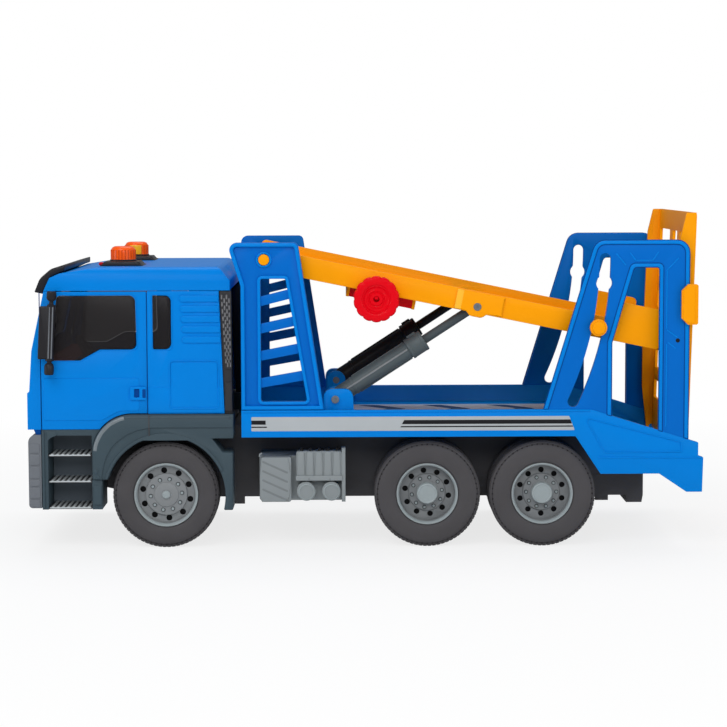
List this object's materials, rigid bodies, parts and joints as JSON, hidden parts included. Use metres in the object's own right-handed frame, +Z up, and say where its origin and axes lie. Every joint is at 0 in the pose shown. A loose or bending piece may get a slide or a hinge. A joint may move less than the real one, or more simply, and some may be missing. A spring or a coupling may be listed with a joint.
{
  "type": "toy car transporter truck",
  "caption": "Toy car transporter truck with a tilting upper deck on lift cylinders, folding rear ramp, opening cab doors and rolling wheels.",
  "frame": {"origin": "centre of the bounding box's footprint, on the ground the tyres stand on", "axes": "-X is the way the truck drives, +X its tail, -Y its left side, +Y its right side, +Z up"},
  "size_m": [0.4458, 0.1798, 0.2208],
  "materials": {
    "blue": "gloss",
    "orange": "satin",
    "slate": "matte",
    "dark_grey": "matte",
    "black": "matte",
    "pale_grey": "matte",
    "silver": "satin",
    "mid_grey": "satin",
    "rod_black": "satin",
    "rim_grey": "satin",
    "tyre_rubber": "matte",
    "axle_steel": "satin",
    "red": "gloss",
    "amber": "gloss",
    "smoked_window": "gloss"
  },
  "bodies": {
    "truck": {"cab_front_panel": "blue", "cab_roof": "blue", "cab_side_left": "blue", "cab_side_right": "blue", "cab_back_panel": "blue", "lower_deck": "blue", "gantry_left": "blue", "gantry_right": "blue", "gantry_front": "blue", "hoop_left": "blue", "hoop_right": "blue", "cab_floor": "blue", "mudguard_left": "slate", "mudguard_right": "slate", "step_left": "slate", "step_right": "slate", "bumper": "dark_grey", "sun_visor": "dark_grey", "cab_interior": "dark_grey", "steering_wheel": "dark_grey", "grille": "dark_grey", "chassis_frame": "black", "air_intakes": "black", "beacon_bases": "black", "equipment_left": "pale_grey", "equipment_right": "pale_grey", "step_treads": "silver", "headlamps": "silver", "tail_lamps": "red", "beacons": "amber", "windshield": "smoked_window", "quarter_windows": "smoked_window", "back_window": "smoked_window"},
    "door_left": {"door_left": "blue", "door_glass_left": "smoked_window", "mirror_left": "dark_grey"},
    "door_right": {"door_right": "blue", "door_glass_right": "smoked_window", "mirror_right": "dark_grey"},
    "upper_deck": {"upper_deck": "orange", "deck_pegs": "orange", "winch_box": "red"},
    "winch_knob": {"winch_knob": "red"},
    "lift_barrel_left": {"lift_barrel_left": "mid_grey"},
    "lift_barrel_right": {"lift_barrel_right": "mid_grey"},
    "lift_rod_left": {"lift_rod_left": "rod_black"},
    "lift_rod_right": {"lift_rod_right": "rod_black"},
    "loading_ramp": {"loading_ramp": "orange"},
    "front_wheels": {"front_axle": "axle_steel", "front_rims": "rim_grey", "front_tyre_left": "tyre_rubber", "front_tyre_right": "tyre_rubber"},
    "middle_wheels": {"middle_axle": "axle_steel", "middle_rims": "rim_grey", "middle_tyre_left": "tyre_rubber", "middle_tyre_right": "tyre_rubber"},
    "rear_wheels": {"rear_axle": "axle_steel", "rear_rims": "rim_grey", "rear_tyre_left": "tyre_rubber", "rear_tyre_right": "tyre_rubber"}
  },
  "joints": [
    {"name": "front_wheel_spin", "type": "hinge", "parent": "truck", "child": "front_wheels", "pos_m": [-0.1328, 0, 0.0352], "axis": [0, 1, 0], "continuous": true},
    {"name": "middle_wheel_spin", "type": "hinge", "parent": "truck", "child": "middle_wheels", "pos_m": [0.0403, 0, 0.0352], "axis": [0, 1, 0], "continuous": true},
    {"name": "rear_wheel_spin", "type": "hinge", "parent": "truck", "child": "rear_wheels", "pos_m": [0.1166, 0, 0.0352], "axis": [0, 1, 0], "continuous": true},
    {"name": "upper_deck_tilt", "type": "hinge", "parent": "truck", "child": "upper_deck", "pos_m": [-0.0669, 0, 0.191], "axis": [0, 1, 0], "range_deg": [-11.6, 13]},
    {"name": "lift_foot_left", "type": "hinge", "parent": "truck", "child": "lift_barrel_left", "pos_m": [-0.0205, 0, 0.0984], "axis": [0, 1, 0], "range_deg": [-10.8, 12.1]},
    {"name": "lift_stroke_left", "type": "slide", "parent": "lift_barrel_left", "child": "lift_rod_left", "axis": [0.8389, 0, 0.5443], "range_m": [-0.0236, 0.021]},
    {"name": "lift_foot_right", "type": "hinge", "parent": "truck", "child": "lift_barrel_right", "pos_m": [-0.0205, 0, 0.0984], "axis": [0, 1, 0], "range_deg": [-10.8, 12.1]},
    {"name": "lift_stroke_right", "type": "slide", "parent": "lift_barrel_right", "child": "lift_rod_right", "axis": [0.8389, 0, 0.5443], "range_m": [-0.0236, 0.021]},
    {"name": "ramp_hinge", "type": "hinge", "parent": "truck", "child": "loading_ramp", "pos_m": [0.2106, 0, 0.0615], "axis": [0, 1, 0], "range_deg": [0, 109.5]},
    {"name": "winch_spin", "type": "hinge", "parent": "upper_deck", "child": "winch_knob", "pos_m": [0.00677, 0, 0.16496], "axis": [0, 1, 0], "continuous": true},
    {"name": "door_hinge_left", "type": "hinge", "parent": "truck", "child": "door_left", "pos_m": [-0.21305, -0.07875, 0.105], "axis": [0, 0, -1], "range_deg": [0, 45]},
    {"name": "door_hinge_right", "type": "hinge", "parent": "truck", "child": "door_right", "pos_m": [-0.21305, 0.07875, 0.105], "axis": [0, 0, 1], "range_deg": [0, 45]}
  ],
  "couplings": [
    {"joint": "lift_foot_left", "follows": "upper_deck_tilt", "ratio": 0.92},
    {"joint": "lift_stroke_left", "follows": "upper_deck_tilt", "m_per_rad": -0.1025},
    {"joint": "lift_foot_right", "follows": "upper_deck_tilt", "ratio": 0.92},
    {"joint": "lift_stroke_right", "follows": "upper_deck_tilt", "m_per_rad": -0.1025}
  ]
}
